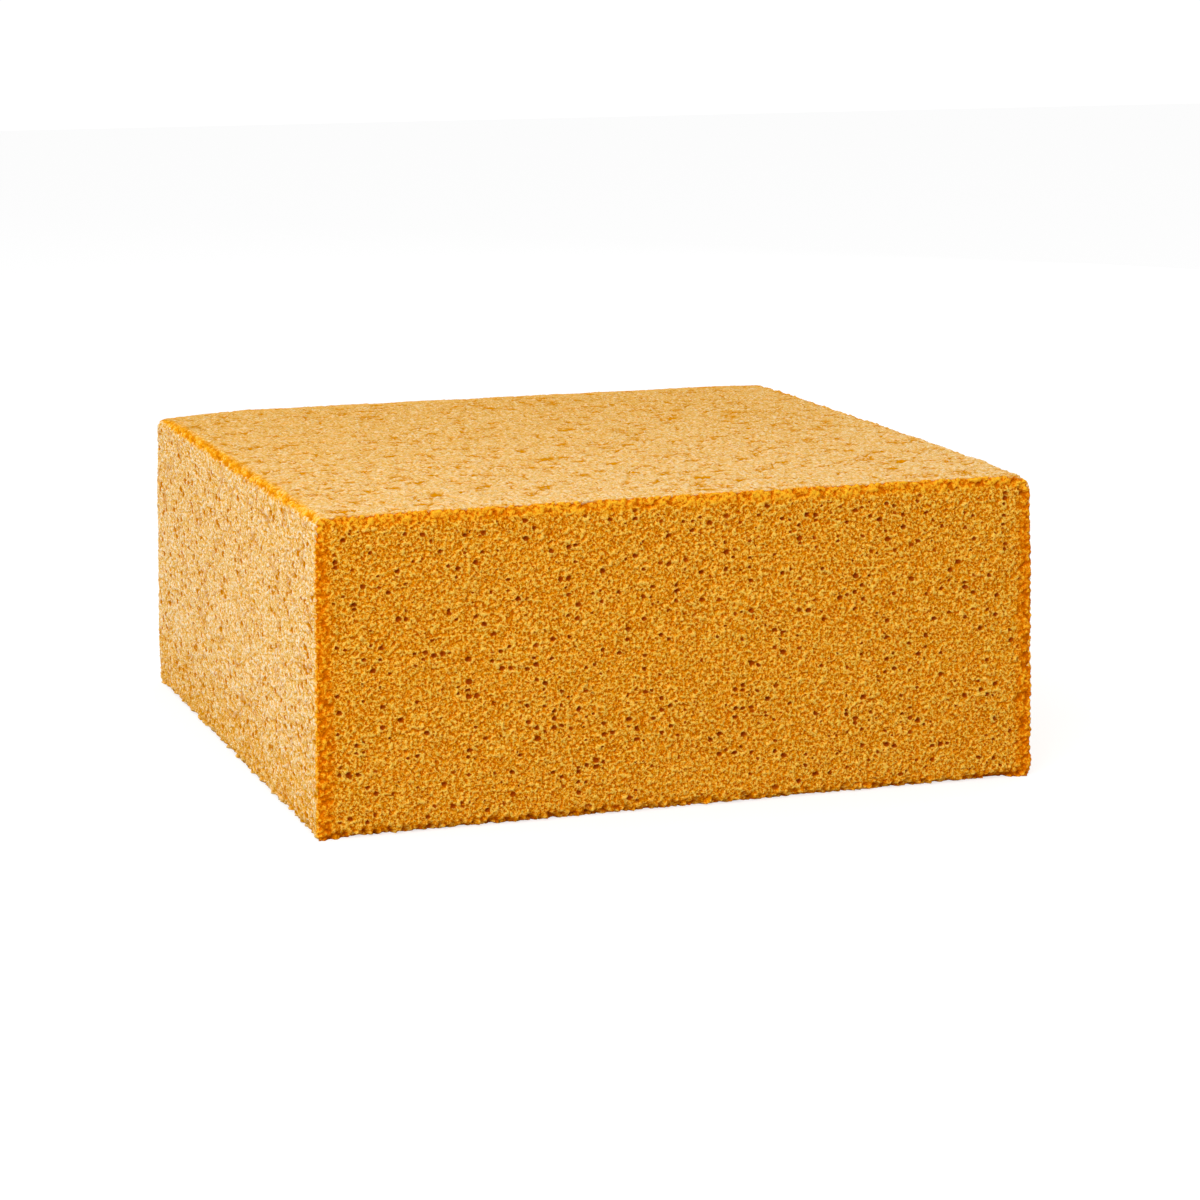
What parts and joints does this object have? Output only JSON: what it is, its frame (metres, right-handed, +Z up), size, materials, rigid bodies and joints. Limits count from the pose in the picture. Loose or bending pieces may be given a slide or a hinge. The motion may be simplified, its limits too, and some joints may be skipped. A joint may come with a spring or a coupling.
{
  "type": "square mud cake",
  "caption": "Uncut square mud cake: a bare block of dense golden sponge with rounded browned edges, open pores and a crumbly foot, that stands on its flat base.",
  "frame": {"origin": "centre of the flat base", "axes": "+Z up out of the base, the shown front face looks along -Y, +X to the right of that face"},
  "size_m": [0.2522, 0.2523, 0.1055],
  "materials": {
    "crumb": "matt open cake crumb, browned along the edges"
  },
  "bodies": {
    "root": {"cake": "crumb"}
  },
  "joints": []
}
